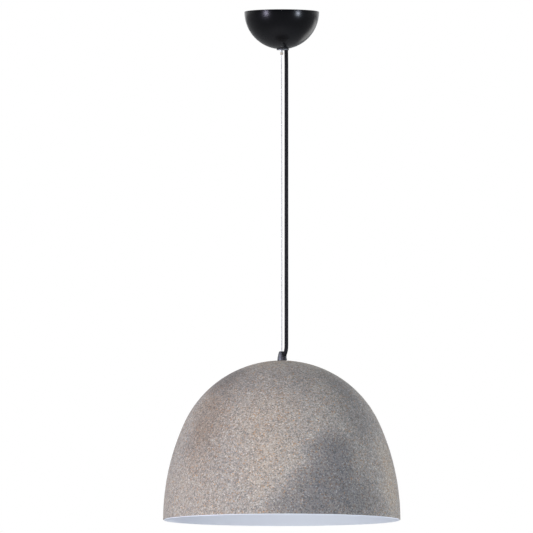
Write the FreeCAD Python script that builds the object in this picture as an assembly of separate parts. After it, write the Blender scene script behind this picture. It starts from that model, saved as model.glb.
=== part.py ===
"""Pendant ceiling light: a stone-coated dome shade that hangs from a hemispherical canopy on a
steel rope, with its flex running down beside the rope. Millimetres, +Z up. The origin is the
centre of the canopy's rim, on the ceiling, and the rope runs down the Z axis. +X is the side
that the flex is on, and -Y is the front."""

import FreeCAD, Part
import math
import os

V = FreeCAD.Vector
UP = V(0, 0, 1)
AXIS_X = V(1, 0, 0)

# ---- driving dimensions ----
canopy_radius = 60.0
canopy_wall = 1.0
shade_radius = 190.0
shade_height = 256.0
shade_top_z = -560.0
crown_turn = math.radians(65.5)  # where the round crown meets the straighter side
coat_wall = 1.2
shell_wall = 1.2
bare_lip = 1.2  # the shell's edge that the coating leaves bare

strap_length = 100.0
strap_width = 20.0
strap_wall = 1.5
strap_drop = 12.0
strap_flat = 20.0  # half length of the dropped middle
strap_foot = 27.0  # where each end meets the ceiling, from the middle
slot_spacing = 70.0
slot_width = 5.0
slot_length = 12.0

clamp_z = -28.0
clamp_screw_y = 6.5
m3 = 1.5  # radius of an M3 screw's shank
earth_x = 16.0
block_x = (-24.0, -10.0)  # the terminal block's two ends
block_screw_x = -15.0
pole_pitch = 8.0
wire_z = -20.5
lower_wire_z = -587.0

rod_radius = 2.5
rod_top_z = -6.0
rod_bottom_z = -60.1
eye_wire = 0.6
eye_bend = 0.7
eye_gap = 0.1  # from the eye's wire to the rod's side
eye_bar_z = -61.9
link_wire = 0.5
link_radius = 1.95
rope_radius = 0.75
rope_loop = 1.3
ferrule_top_z = -65.4
ferrule_bottom_z = -69.8
ferrule_wall = 0.45
stop_radius = 2.2

outlet_x = 1.8  # the outlet plate is off centre, to take the flex as well
outlet_radius = 10.0
outlet_top_z = -60.2
outlet_bottom_z = -61.3
canopy_hole_radius = 8.6
flex_x = 7.2
flex_radius = 3.1
flex_top_z = -20.0
grommet_radius = 3.7
core_radius = 1.05
core_spread = 1.5  # each core's distance from the flex's own axis
flex_split_z = -110.0  # the flex bends above this level and winds below it

collar_base = 7.0
collar_top_z = -545.2
chamber_top_z = -547.4
chamber_bottom_z = -553.0
thread_radius = 5.0  # M10 x 1 lamp thread
nipple_bore = 3.8
nipple_top_z = -556.9
nipple_bottom_z = -577.5
gland_radius = 3.85
relief_radius = 4.2  # strain relief on the crown, against the collar's front right
relief_x = 3.6
relief_y = -4.0
relief_top_z = -552.4
relief_chamfer = 1.0
grub_z = -557.7
grub_radius = 1.25
grub_end_x = 8.3

holder_top_z = -569.0
holder_seam_z = -597.0
holder_mouth_z = -627.0
holder_radius = 20.5
skirt_radius = 19.8
skirt_top_z = -592.5
rib_levels = (-606.0, -609.0, -612.0, -615.0, -618.0)
insert_radius = 16.6
insert_top_z = -591.0
terminal_x = 11.0
terminal_top_z = -584.0
rivet_y = 9.5
rivet_radius = 1.3
screw_shell_radius = 13.3  # inside of the E27 screw shell
screw_shell_wall = 0.5
earth_hole_y = 14.0  # where the earth core leaves the lampholder's cap
shell_flange_z = -602.5
contact_pocket_z = -595.5  # the spring bears on the pocket's end in the ceramic block
contact_pocket = 4.2
contact_face_z = -602.4
contact_top_z = contact_face_z + 1.2
contact_stem = 1.6

# ---- sizes that follow ----
rim_z = shade_top_z - shade_height
sin_turn = math.sin(crown_turn)
cos_turn = math.cos(crown_turn)
side_radius = (shade_height * sin_turn - shade_radius * (1 - cos_turn)) / (
    sin_turn * cos_turn - (1 - sin_turn) * (1 - cos_turn)
)
crown_radius = (shade_radius - side_radius * (1 - sin_turn)) / sin_turn
link_bottom_z = eye_bar_z + eye_wire + link_wire - 2 * link_radius + 0.02
strap_under_z = -strap_drop - strap_wall

# ---- routes of the cords, as the corner points of straight runs that arcs join ----
flex_drop = [
    V(flex_x, 0, outlet_top_z),
    V(flex_x, 0, -75.0),
    V(7.5, -5.2, -533.0),
    V(7.4, -5.9, -541.0),
    V(5.9, -5.95, -548.0),
    V(4.6, -4.95, -551.3),
    V(2.2, -2.45, -554.3),
]
rope_route = [
    V(0, 0, -549.6),
    V(0, 0, -69.2),
    V(-rope_loop, 0, -66.6),
    V(-rope_loop, 0, link_bottom_z + rope_loop),
    V(rope_loop, 0, link_bottom_z + rope_loop),
    V(rope_loop, 0, -68.4),
]


# ---- helpers ----
def cylinder(radius, z0, z1, x=0.0, y=0.0):
    return Part.makeCylinder(radius, abs(z1 - z0), V(x, y, min(z0, z1)))


def tube(outer, inner, z0, z1, x=0.0, y=0.0):
    return cylinder(outer, z0, z1, x, y).cut(cylinder(inner, z0, z1, x, y))


def block(x0, x1, y0, y1, z0, z1):
    return Part.makeBox(x1 - x0, y1 - y0, z1 - z0, V(x0, y0, z0))


def rod_between(start, end, radius):
    along = end - start
    return Part.makeCylinder(radius, along.Length, start, along)


def hex_prism(across_flats, z0, z1):
    corner = across_flats / math.sqrt(3)
    ring = [V(corner * math.cos(k * math.pi / 3), corner * math.sin(k * math.pi / 3), z0)
            for k in range(7)]
    return Part.Face(Part.makePolygon(ring)).extrude(V(0, 0, z1 - z0))


def line(a, b):
    return Part.LineSegment(a, b).toShape()


def arc(a, middle, b):
    return Part.Arc(a, middle, b).toShape()


def turned(edges):
    """Solid of revolution about Z, from a closed outline in the XZ plane."""
    solid = Part.Face(Part.Wire(edges)).revolve(V(0, 0, 0), UP, 360)
    return Part.Solid(solid) if solid.ShapeType == "Shell" else solid


def turned_polygon(outline):
    ring = [V(r, 0, z) for r, z in outline]
    return turned(Part.makePolygon(ring + ring[:1]).Edges)


def joined(shapes):
    whole = shapes[0]
    for shape in shapes[1:]:
        whole = whole.fuse(shape)
    return whole.removeSplitter()


def route_wire(points):
    """Straight runs joined by tangent arcs, and the radius of each arc."""
    edges = []
    radii = []
    start = points[0]
    for before, corner, after in zip(points, points[1:], points[2:]):
        run_in = corner - before
        run_out = after - corner
        half_turn = run_in.getAngle(run_out) / 2
        reach = 0.45 * min(run_in.Length, run_out.Length)
        radius = reach / math.tan(half_turn)
        into = V(run_in).normalize()
        out = V(run_out).normalize()
        inward = (out - into).normalize()
        first = corner - into * reach
        last = corner + out * reach
        middle = corner + inward * (radius / math.cos(half_turn) - radius)
        edges += [line(start, first), arc(first, middle, last)]
        radii.append(radius)
        start = last
    edges.append(line(start, points[-1]))
    return Part.Wire(edges), radii


def cord(name, points, radius):
    """Round cord along a route. Prints its arcs' radii and compares its volume."""
    path, radii = route_wire(points)
    along = points[1] - points[0]
    section = Part.Wire(Part.Circle(points[0], along, radius).toShape())
    solid = path.makePipeShell([section], True, False)
    share = solid.Volume / (math.pi * radius**2 * path.Length)
    said = ", ".join(f"{r:.1f}" for r in radii)
    print(f"{name}: {path.Length:.1f} long, {2 * radius:.2f} across, radii {said}, volume {share:.4f}")
    return solid


def straight_cord(name, start, end, radius):
    length = (end - start).Length
    print(f"{name}: {length:.1f} long, {2 * radius:.2f} across, straight")
    return rod_between(start, end, radius)


# ---- inside and under the canopy ----
def ceiling_bracket():
    """Hat-shaped steel strap, with a tab bent down for the flex's clamp."""
    end = strap_length / 2
    low = -strap_drop
    outline = [
        (-end, 0), (-strap_foot, 0), (-strap_flat, low), (strap_flat, low), (strap_foot, 0), (end, 0),
        (end, -strap_wall), (strap_foot + 0.8, -strap_wall), (strap_flat + 0.8, low - strap_wall),
        (-strap_flat - 0.8, low - strap_wall), (-strap_foot - 0.8, -strap_wall), (-end, -strap_wall),
    ]
    ring = [V(x, -strap_width / 2, z) for x, z in outline]
    strap = Part.Face(Part.makePolygon(ring + ring[:1])).extrude(V(0, strap_width, 0))
    tab_x = flex_x + flex_radius
    strap = joined([strap, block(tab_x, tab_x + strap_wall, -9, 9, -34, strap_under_z + 0.2)])
    for side in (-1, 1):
        middle = side * slot_spacing / 2
        half = (slot_length - slot_width) / 2
        for x in (middle - half, middle + half):
            strap = strap.cut(cylinder(slot_width / 2, -strap_wall - 1, 1, x))
        strap = strap.cut(block(middle - half, middle + half, -slot_width / 2, slot_width / 2,
                                -strap_wall - 1, 1))
        y = side * clamp_screw_y
        strap = strap.cut(rod_between(V(tab_x - 1, y, clamp_z), V(tab_x + 3, y, clamp_z), m3))
    strap = strap.cut(cylinder(rod_radius, -20, 0))
    strap = strap.cut(cylinder(2.0, -20, -8, earth_x))
    return strap.cut(cylinder(m3, -20, -8, block_screw_x, pole_pitch / 2))


def bracket_nuts():
    """One nut above the strap and one below it, on the rod."""
    upper = hex_prism(8.0, -strap_drop, -strap_drop + 4)
    lower = hex_prism(8.0, strap_under_z - 4, strap_under_z)
    return Part.Compound([n.cut(cylinder(rod_radius, -40, 0)) for n in (upper, lower)])


def eye_bolt():
    """Threaded rod, necked to an eye whose lower bar is straight."""
    rod = cylinder(rod_radius, rod_top_z, rod_bottom_z)
    half = rod_radius - eye_wire - eye_gap
    flat = half - eye_bend
    lift = eye_bend * (1 - math.sqrt(0.5))
    bend_z = eye_bar_z + eye_bend
    start = V(-half, 0, rod_bottom_z + 1)
    path = Part.Wire([
        line(start, V(-half, 0, bend_z)),
        arc(V(-half, 0, bend_z), V(lift - half, 0, eye_bar_z + lift), V(-flat, 0, eye_bar_z)),
        line(V(-flat, 0, eye_bar_z), V(flat, 0, eye_bar_z)),
        arc(V(flat, 0, eye_bar_z), V(half - lift, 0, eye_bar_z + lift), V(half, 0, bend_z)),
        line(V(half, 0, bend_z), V(half, 0, start.z)),
    ])
    section = Part.Wire(Part.Circle(start, UP, eye_wire).toShape())
    return joined([rod, path.makePipeShell([section], True, False)])


def canopy():
    """Half a sphere, open at the ceiling, with one hole for the rod and the flex."""
    inner = canopy_radius - canopy_wall
    bowl = Part.makeSphere(canopy_radius).cut(Part.makeSphere(inner))
    bowl = bowl.common(block(-70, 70, -70, 70, -70, 0))
    return bowl.cut(cylinder(canopy_hole_radius, -70, -50, outlet_x))


def canopy_gasket():
    ring = tube(outlet_radius - 0.4, canopy_hole_radius + 0.1, outlet_top_z, -57, outlet_x)
    return ring.cut(Part.makeSphere(canopy_radius))


def outlet_plate():
    """Round plate that is screwed up the rod and holds the canopy against the ceiling."""
    plate = cylinder(outlet_radius, outlet_bottom_z, outlet_top_z, outlet_x)
    plate = joined([plate, cylinder(3.3, outlet_top_z - 0.5, outlet_top_z + 3.7)])
    plate = plate.cut(cylinder(rod_radius, -70, -50))
    return plate.cut(cylinder(grommet_radius, -70, -50, flex_x))


def cable_grommet():
    body = cylinder(grommet_radius, outlet_bottom_z, outlet_top_z, flex_x)
    lip = cylinder(grommet_radius + 0.5, outlet_bottom_z - 0.5, outlet_bottom_z, flex_x)
    return joined([body, lip]).cut(cylinder(flex_radius + 0.05, -70, -50, flex_x))


def cord_clamp():
    """Saddle that presses the flex against the bracket's tab."""
    tab_x = flex_x + flex_radius
    saddle = block(tab_x - 6.9, tab_x, -9, 9, clamp_z - 3.5, clamp_z + 3.5)
    saddle = saddle.cut(cylinder(flex_radius, -40, -20, flex_x))
    saddle = saddle.cut(block(flex_x, tab_x, -flex_radius, flex_radius, -40, -20))
    for y in (-clamp_screw_y, clamp_screw_y):
        saddle = saddle.cut(rod_between(V(0, y, clamp_z), V(20, y, clamp_z), m3))
    return saddle


def cord_clamp_screws():
    tab_x = flex_x + flex_radius
    screws = []
    for y in (-clamp_screw_y, clamp_screw_y):
        shank = rod_between(V(tab_x - 6.9, y, clamp_z), V(tab_x + 4, y, clamp_z), m3)
        head = rod_between(V(tab_x - 8.9, y, clamp_z), V(tab_x - 6.9, y, clamp_z), 2.7)
        slot = block(tab_x - 9.0, tab_x - 8.1, y - 3, y + 3, clamp_z - 0.35, clamp_z + 0.35)
        screws.append(joined([shank, head]).cut(slot))
    return Part.Compound(screws)


def terminal_block():
    """Three-way block under the strap: brass ways are bored along X, screws come from below."""
    body = block(*block_x, -1.5 * pole_pitch, 1.5 * pole_pitch, strap_under_z - 12, strap_under_z)
    middle = sum(block_x) / 2
    for way in (-1, 0, 1):
        y = way * pole_pitch
        body = body.cut(rod_between(V(block_x[0] - 1, y, wire_z), V(block_x[1] + 1, y, wire_z), 2.0))
        for x in (middle - 4.5, middle + 4.5):
            body = body.cut(cylinder(1.8, -40, wire_z, x, y))
    for way in (-0.5, 0.5):
        groove = block(block_x[0] - 1, middle - 3, way * pole_pitch - 0.6, way * pole_pitch + 0.6, -40, -17)
        body = body.cut(groove)
        body = body.cut(groove.translated(V(middle + 3 - block_x[0] + 1, 0, 0)))
    return body.cut(cylinder(m3, -40, 0, block_screw_x, pole_pitch / 2))


def terminal_screws():
    """Two screws in each way, screwed up onto the wires."""
    middle = sum(block_x) / 2
    screws = []
    for way in (-1, 0, 1):
        for x in (middle - 4.5, middle + 4.5):
            screw = cylinder(1.7, strap_under_z - 11.4, wire_z - core_radius - 0.1, x, way * pole_pitch)
            slot = block(x - 2, x + 2, way * pole_pitch - 0.3, way * pole_pitch + 0.3,
                         strap_under_z - 11.5, strap_under_z - 10.6)
            screws.append(screw.cut(slot))
    return Part.Compound(screws)


def terminal_block_screw():
    y = pole_pitch / 2
    shank = cylinder(m3, strap_under_z - 12, -9, block_screw_x, y)
    head = cylinder(2.8, strap_under_z - 13.8, strap_under_z - 12, block_screw_x, y)
    slot = block(block_screw_x - 3, block_screw_x + 3, y - 0.35, y + 0.35, strap_under_z - 13.9,
                 strap_under_z - 13)
    return joined([shank, head]).cut(slot)


def earth_screw():
    """Bracket's earth terminal, with its square clamping washer."""
    shank = cylinder(2.0, strap_under_z - 2.5, -7, earth_x)
    head = cylinder(3.6, strap_under_z - 4.8, strap_under_z - 2.2, earth_x)
    washer = block(earth_x - 3.5, earth_x + 3.5, -4, 4, strap_under_z - 1.2, strap_under_z)
    slot = block(earth_x - 4, earth_x + 4, -0.4, 0.4, strap_under_z - 4.9, strap_under_z - 3.8)
    return joined([shank, head, washer]).cut(slot)


def upper_core(turn, corners):
    """One core of the flex, from the clamped end to the terminal block."""
    x = flex_x + core_spread * math.cos(turn)
    y = core_spread * math.sin(turn)
    return [V(x, y, flex_top_z), V(x, y, corners[0].z)] + corners[1:]


upper_cores = {
    "lead_live_upper": upper_core(
        math.pi / 3,
        [V(7.95, 1.3, -16.9), V(5.6, 7.4, -16.7), V(-3.0, 8.3, -19.6), V(-16.0, 8.0, wire_z)]),
    "lead_neutral_upper": upper_core(
        -math.pi / 3,
        [V(7.95, -1.3, -16.9), V(5.6, -7.4, -16.7), V(-3.0, -8.3, -19.6), V(-16.0, -8.0, wire_z)]),
    "lead_earth_upper": upper_core(
        math.pi,
        [V(5.7, 0, -18.7), V(2.6, 4.4, -19.2), V(-4.0, 3.6, -20.3), V(-10.0, 0.1, wire_z + 0.1),
         V(-16.0, 0, wire_z)]),
}


def flex_tail():
    """The flex inside the canopy, from the outlet plate to above the clamp."""
    return straight_cord("flex_tail", V(flex_x, 0, outlet_top_z), V(flex_x, 0, flex_top_z), flex_radius)


# ---- suspension ----
def ring_link():
    centre = V(0, 0, link_bottom_z + link_radius)
    return Part.makeTorus(link_radius, link_wire, centre, AXIS_X)


def rope_ferrule(rope):
    """Oval crimp that closes the rope's loop."""
    half = rope_loop
    outer = rope_radius + ferrule_wall
    body = joined([
        cylinder(outer, ferrule_bottom_z, ferrule_top_z, -half),
        cylinder(outer, ferrule_bottom_z, ferrule_top_z, half),
        block(-half, half, -outer, outer, ferrule_bottom_z, ferrule_top_z),
    ])
    return body.cut(rope)


def rope_end_stop():
    """Turned stop crimped on the rope's lower end. The collar hangs on its flat top."""
    top_z = chamber_top_z - 0.05
    barrel = cylinder(stop_radius, top_z - 2.6, top_z)
    nose = Part.makeCone(stop_radius - 0.6, stop_radius, 0.6, V(0, 0, top_z - 3.2))
    return joined([barrel, nose]).cut(cylinder(rope_radius, rope_route[0].z, 0))


def flex_between(flex, z0, z1):
    """Stretch of the hanging flex: it bends above flex_split_z and winds below it."""
    return flex.common(block(-20, 30, -20, 20, z0, z1))


# ---- on top of the shade ----
gland_in = flex_drop[-1]
gland_out = flex_drop[-2]
gland_way = V(gland_out - gland_in).normalize()


def collar(side_hole):
    """Bell-shaped turned collar: the rope's chamber above, the lamp thread below."""
    base = shade_top_z
    top = collar_top_z
    outline = [
        line(V(collar_base, 0, base), V(collar_base, 0, base + 1.5)),
        arc(V(collar_base, 0, base + 1.5), V(6.2, 0, -552.3), V(4.5, 0, top - 0.9)),
        arc(V(4.5, 0, top - 0.9), V(4.15, 0, top - 0.25), V(3.5, 0, top)),
        line(V(3.5, 0, top), V(1.9, 0, top)),
        line(V(1.9, 0, top), V(0.95, 0, top - 1.2)),
        line(V(0.95, 0, top - 1.2), V(0.95, 0, chamber_top_z)),
        line(V(0.95, 0, chamber_top_z), V(2.8, 0, chamber_top_z)),
        line(V(2.8, 0, chamber_top_z), V(2.8, 0, chamber_bottom_z)),
        line(V(2.8, 0, chamber_bottom_z), V(thread_radius, 0, chamber_bottom_z)),
        line(V(thread_radius, 0, chamber_bottom_z), V(thread_radius, 0, base)),
        line(V(thread_radius, 0, base), V(collar_base, 0, base)),
    ]
    return turned(outline).cut(side_hole).cut(rod_between(V(4, 0, grub_z), V(9, 0, grub_z), grub_radius))


def cable_gland(flex, collar_solid):
    """Black strain relief: a bush in the collar's side hole, and a body that stands on the crown."""
    shoulder_z = relief_top_z - relief_chamfer
    body = cylinder(relief_radius, shade_top_z, shoulder_z, relief_x, relief_y)
    shoulder = Part.makeCone(relief_radius, relief_radius - relief_chamfer, relief_chamfer,
                             V(relief_x, relief_y, shoulder_z))
    body = joined([body, shoulder]).cut(cylinder(thread_radius, shade_top_z, relief_top_z))
    sleeve = rod_between(gland_in + gland_way * 0.4, gland_out + gland_way * 0.2, gland_radius)
    bush = joined([body, sleeve]).cut(flex).cut(collar_solid)
    bush = bush.cut(cylinder(thread_radius + 0.1, shade_top_z, nipple_top_z))
    return bush.cut(rod_between(V(4, 0, grub_z), V(12, 0, grub_z), grub_radius + 0.15))


def grub_screw():
    screw = rod_between(V(thread_radius, 0, grub_z), V(grub_end_x, 0, grub_z), grub_radius)
    socket = rod_between(V(grub_end_x - 0.9, 0, grub_z), V(grub_end_x + 1, 0, grub_z), 0.6)
    return screw.cut(socket)


def threaded_nipple():
    flare = Part.makeCone(nipple_bore, nipple_bore + 0.8, 0.9, V(0, 0, nipple_top_z - 0.9))
    return tube(thread_radius, nipple_bore, nipple_bottom_z, nipple_top_z).cut(flare)


# ---- shade ----
def dome_layer(outer_inset, inner_inset, edge_z):
    """Layer of the dome between two insets from its outer face, from the top hole to edge_z."""
    crown = V(0, 0, shade_top_z - crown_radius)
    side = V(shade_radius - side_radius, 0, rim_z)

    def at(centre, radius, angle):
        return centre + V(radius * math.sin(angle), 0, radius * math.cos(angle))

    def face_arcs(inset):
        r_crown = crown_radius - inset
        r_side = side_radius - inset
        start = math.asin(thread_radius / r_crown)
        end = math.acos((edge_z - rim_z) / r_side)
        join = at(side, r_side, crown_turn)
        upper = arc(at(crown, r_crown, start), at(crown, r_crown, (start + crown_turn) / 2), join)
        lower = arc(join, at(side, r_side, (crown_turn + end) / 2), at(side, r_side, end))
        return at(crown, r_crown, start), at(side, r_side, end), [upper, lower]

    top_out, foot_out, outer = face_arcs(outer_inset)
    top_in, foot_in, inner = face_arcs(inner_inset)
    return turned([*outer, line(foot_out, foot_in), *reversed(inner), line(top_in, top_out)])


def shade_shell():
    return dome_layer(coat_wall, coat_wall + shell_wall, rim_z)


def stone_coating():
    return dome_layer(0, coat_wall, rim_z + bare_lip)


washer_top_z = shade_top_z - coat_wall - shell_wall - 0.5
tag_top_z = washer_top_z - 1.5
nut_top_z = tag_top_z - 0.8
earth_crimp_z = tag_top_z - 2.0


def inner_washer():
    return tube(12.0, thread_radius, tag_top_z, washer_top_z)


def earth_tag():
    """Ring tag for the shade's earth, with a tongue that the earth core is crimped into."""
    ring = joined([cylinder(8.0, nut_top_z, tag_top_z), block(-2, 2, 6, 12, nut_top_z, tag_top_z)])
    crimp = rod_between(V(0, 9, earth_crimp_z), V(0, 11.6, earth_crimp_z), 1.8)
    crimp = crimp.cut(rod_between(V(0, 8, earth_crimp_z), V(0, 13, earth_crimp_z), core_radius))
    return joined([ring, crimp]).cut(cylinder(thread_radius, -600, -540))


def lock_nut():
    return hex_prism(14.0, nut_top_z - 3, nut_top_z).cut(cylinder(thread_radius, -600, -540))


# ---- lampholder ----
def lampholder_cap():
    """Domed cap on the lamp thread, with a hole for the earth core."""
    top = holder_top_z
    outer = holder_radius
    inner = holder_radius - 2
    cap = turned([
        line(V(thread_radius, 0, top), V(9, 0, top)),
        line(V(9, 0, top), V(9, 0, top - 6)),
        arc(V(9, 0, top - 6), V(17.2, 0, top - 9.6), V(outer, 0, top - 18)),
        line(V(outer, 0, top - 18), V(outer, 0, holder_seam_z)),
        line(V(outer, 0, holder_seam_z), V(inner, 0, holder_seam_z)),
        line(V(inner, 0, holder_seam_z), V(inner, 0, top - 18)),
        arc(V(inner, 0, top - 18), V(15.6, 0, top - 11.0), V(8.5, 0, top - 8)),
        line(V(8.5, 0, top - 8), V(thread_radius, 0, top - 8)),
        line(V(thread_radius, 0, top - 8), V(thread_radius, 0, top)),
    ])
    return cap.cut(cylinder(1.5, top - 20, top - 5, 0, earth_hole_y))


def lampholder_body():
    """Outer skirt: a spigot screws into the cap, and ribs take a shade ring."""
    skirt = turned_polygon([
        (18.4, skirt_top_z), (18.4, holder_seam_z - 0.2), (skirt_radius, holder_seam_z - 0.2),
        (skirt_radius, holder_mouth_z), (14.5, holder_mouth_z), (14.5, holder_mouth_z + 2.5),
        (16.8, holder_mouth_z + 2.5), (16.8, skirt_top_z),
    ])
    ribs = [tube(skirt_radius + 0.6, skirt_radius - 0.3, z, z + 1.2) for z in rib_levels]
    return joined([skirt] + ribs)


def lampholder_insert():
    """Ceramic block between the terminals and the screw shell."""
    body = cylinder(insert_radius, shell_flange_z, insert_top_z)
    body = body.cut(cylinder(contact_stem + 0.1, -610, -580))
    body = body.cut(cylinder(contact_pocket, -610, contact_pocket_z))
    for y in (-rivet_y, rivet_y):
        body = body.cut(cylinder(rivet_radius, -610, -580, 0, y))
    return body


def holder_terminals():
    """Two brass terminals on the ceramic block."""
    parts = []
    for x in (-terminal_x, terminal_x):
        brass = block(x - 3, x + 3, -3, 3, insert_top_z, terminal_top_z)
        brass = brass.cut(rod_between(V(x, -4, lower_wire_z), V(x, 4, lower_wire_z), 1.2))
        parts.append(brass.cut(cylinder(1.3, lower_wire_z, -580, x)))
    return Part.Compound(parts)


def holder_screws():
    """Terminal screws, standing in the brass terminals."""
    parts = []
    for x in (-terminal_x, terminal_x):
        screw = joined([cylinder(1.3, -585.5, -582, x), cylinder(2.3, terminal_top_z, -582.2, x)])
        parts.append(screw.cut(block(x - 3, x + 3, -0.3, 0.3, -582.9, -581.9)))
    return Part.Compound(parts)


def screw_shell():
    outer = screw_shell_radius + screw_shell_wall
    wall = tube(outer, screw_shell_radius, -624, shell_flange_z)
    flange = tube(screw_shell_radius, 5.0, shell_flange_z - screw_shell_wall, shell_flange_z)
    shell = joined([wall, flange])
    for y in (-rivet_y, rivet_y):
        shell = shell.cut(cylinder(rivet_radius, -610, -580, 0, y))
    return shell


def shell_rivets():
    """Rivets that hold the screw shell on the ceramic, headed above and flush below."""
    parts = []
    for y in (-rivet_y, rivet_y):
        shank = cylinder(rivet_radius, shell_flange_z - screw_shell_wall, insert_top_z, 0, y)
        head = cylinder(rivet_radius + 0.9, insert_top_z, insert_top_z + 0.9, 0, y)
        parts.append(joined([shank, head]))
    return Part.Compound(parts)


def centre_contact():
    """Sprung button that a lamp's tip pushes up, on a stem that slides in the ceramic."""
    head = turned([
        line(V(0, 0, contact_top_z), V(3.2, 0, contact_top_z)),
        line(V(3.2, 0, contact_top_z), V(3.2, 0, contact_face_z + 0.5)),
        arc(V(3.2, 0, contact_face_z + 0.5), V(3.0, 0, contact_face_z + 0.15), V(2.5, 0, contact_face_z)),
        line(V(2.5, 0, contact_face_z), V(0, 0, contact_face_z)),
        line(V(0, 0, contact_face_z), V(0, 0, contact_top_z)),
    ])
    return joined([head, cylinder(contact_stem, contact_top_z - 0.2, -590.5)])


def contact_spring():
    """Envelope of the coil spring between the ceramic and the button."""
    return tube(2.7, 1.9, contact_top_z, contact_pocket_z)


def lower_core(turn, corners):
    """One core of the flex, from its end inside the collar into the lampholder."""
    across = gland_way.cross(UP).normalize()
    upward = across.cross(gland_way).normalize()
    start = gland_in + (across * math.cos(turn) + upward * math.sin(turn)) * core_spread
    return [start, start - gland_way * 1.3] + corners


def in_bore(angle, z):
    """Point on a core's line inside the nipple, where the three cores lie side by side."""
    turn = math.radians(angle)
    return V(core_spread * math.cos(turn), core_spread * math.sin(turn), z)


lower_cores = {
    "lead_live_lower": lower_core(
        math.radians(210),
        [in_bore(15, -558.5), in_bore(15, -578.4), V(5.5, 4.5, -583.0), V(terminal_x, 7.5, -585.5),
         V(terminal_x, 5.0, lower_wire_z), V(terminal_x, 0.5, lower_wire_z)]),
    "lead_neutral_lower": lower_core(
        math.radians(-30),
        [in_bore(255, -558.5), in_bore(255, -578.4), V(-5.0, -5.0, -583.0), V(-terminal_x, -7.5, -585.5),
         V(-terminal_x, -5.0, lower_wire_z), V(-terminal_x, -0.5, lower_wire_z)]),
    "lead_earth_lower": lower_core(
        math.radians(90),
        [in_bore(135, -558.5), in_bore(135, -577.0), V(-0.6, 5.5, -582.5), V(0, 12.0, -585.5),
         V(0, earth_hole_y, -582.0), V(0, earth_hole_y, earth_crimp_z), V(0, 9.2, earth_crimp_z)]),
}


def build():
    rope = cord("suspension_rope", rope_route, rope_radius)
    flex = cord("flex_cable", flex_drop, flex_radius)
    flex_entry = rod_between(gland_in - gland_way, gland_in + gland_way * 20, gland_radius)
    bell = collar(flex_entry)
    parts = {
        "ceiling_bracket": ceiling_bracket(),
        "bracket_nuts": bracket_nuts(),
        "eye_bolt": eye_bolt(),
        "canopy": canopy(),
        "canopy_gasket": canopy_gasket(),
        "outlet_plate": outlet_plate(),
        "cable_grommet": cable_grommet(),
        "cord_clamp": cord_clamp(),
        "cord_clamp_screws": cord_clamp_screws(),
        "terminal_block": terminal_block(),
        "terminal_screws": terminal_screws(),
        "terminal_block_screw": terminal_block_screw(),
        "earth_screw": earth_screw(),
        "flex_tail": flex_tail(),
        "ring_link": ring_link(),
        "suspension_rope": rope,
        "rope_ferrule": rope_ferrule(rope),
        "rope_end_stop": rope_end_stop(),
        "flex_upper": flex_between(flex, flex_split_z, 0),
        "flex_lower": flex_between(flex, -600, flex_split_z),
        "collar": bell,
        "cable_gland": cable_gland(flex, bell),
        "grub_screw": grub_screw(),
        "threaded_nipple": threaded_nipple(),
        "shade_shell": shade_shell(),
        "stone_coating": stone_coating(),
        "inner_washer": inner_washer(),
        "earth_tag": earth_tag(),
        "lock_nut": lock_nut(),
        "lampholder_cap": lampholder_cap(),
        "lampholder_body": lampholder_body(),
        "lampholder_insert": lampholder_insert(),
        "holder_terminals": holder_terminals(),
        "holder_screws": holder_screws(),
        "screw_shell": screw_shell(),
        "shell_rivets": shell_rivets(),
        "centre_contact": centre_contact(),
        "contact_spring": contact_spring(),
    }
    for name, route in {**upper_cores, **lower_cores}.items():
        parts[name] = cord(name, route, core_radius)
    return parts


os.makedirs("parts", exist_ok=True)
for node, shape in build().items():
    assert shape.isValid() and shape.Volume > 0, node
    shape.exportStep(f"parts/{node}.step")
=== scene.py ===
"""Looks of the pendant ceiling light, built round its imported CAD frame. Metres, +Z up."""

import math

import bpy
import numpy as np
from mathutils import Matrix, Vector, noise


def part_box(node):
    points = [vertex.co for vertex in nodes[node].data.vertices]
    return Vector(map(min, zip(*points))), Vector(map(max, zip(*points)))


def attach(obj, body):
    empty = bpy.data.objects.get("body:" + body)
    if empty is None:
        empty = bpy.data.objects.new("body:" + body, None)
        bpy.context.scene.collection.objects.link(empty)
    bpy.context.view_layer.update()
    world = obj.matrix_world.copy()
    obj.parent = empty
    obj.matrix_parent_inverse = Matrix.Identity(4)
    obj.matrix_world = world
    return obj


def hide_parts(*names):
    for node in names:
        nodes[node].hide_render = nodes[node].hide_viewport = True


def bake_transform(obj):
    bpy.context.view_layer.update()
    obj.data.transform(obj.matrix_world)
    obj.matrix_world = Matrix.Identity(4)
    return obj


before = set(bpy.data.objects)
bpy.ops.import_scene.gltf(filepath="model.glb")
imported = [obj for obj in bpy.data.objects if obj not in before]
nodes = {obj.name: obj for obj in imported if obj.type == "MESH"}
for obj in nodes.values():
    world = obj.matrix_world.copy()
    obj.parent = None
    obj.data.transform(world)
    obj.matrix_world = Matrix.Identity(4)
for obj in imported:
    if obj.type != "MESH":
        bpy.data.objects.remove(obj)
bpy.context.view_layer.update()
scene = bpy.context.scene
MM = 0.001


def mm(*values):
    return Vector(values) * MM


# ---- camera: nearly level, from slightly below ----
LENS = 1700.0
SENSOR = 36.0
VIEW_WIDTH = 0.8539
VIEW_TILT = math.radians(-3.45)
VIEW_CENTRE = Vector((-0.0244, 0.0, -0.4090))

camera_data = bpy.data.cameras.new("camera")
camera_data.lens = LENS
camera_data.sensor_width = SENSOR
camera_distance = VIEW_WIDTH * LENS / SENSOR
camera_data.clip_start = camera_distance * 0.5
camera_data.clip_end = camera_distance * 10
camera = bpy.data.objects.new("camera", camera_data)
scene.collection.objects.link(camera)
back = Vector((0, -math.cos(VIEW_TILT), math.sin(VIEW_TILT)))
camera.location = VIEW_CENTRE + back * camera_distance
camera.rotation_euler = back.to_track_quat("Z", "Y").to_euler()
scene.camera = camera


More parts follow.
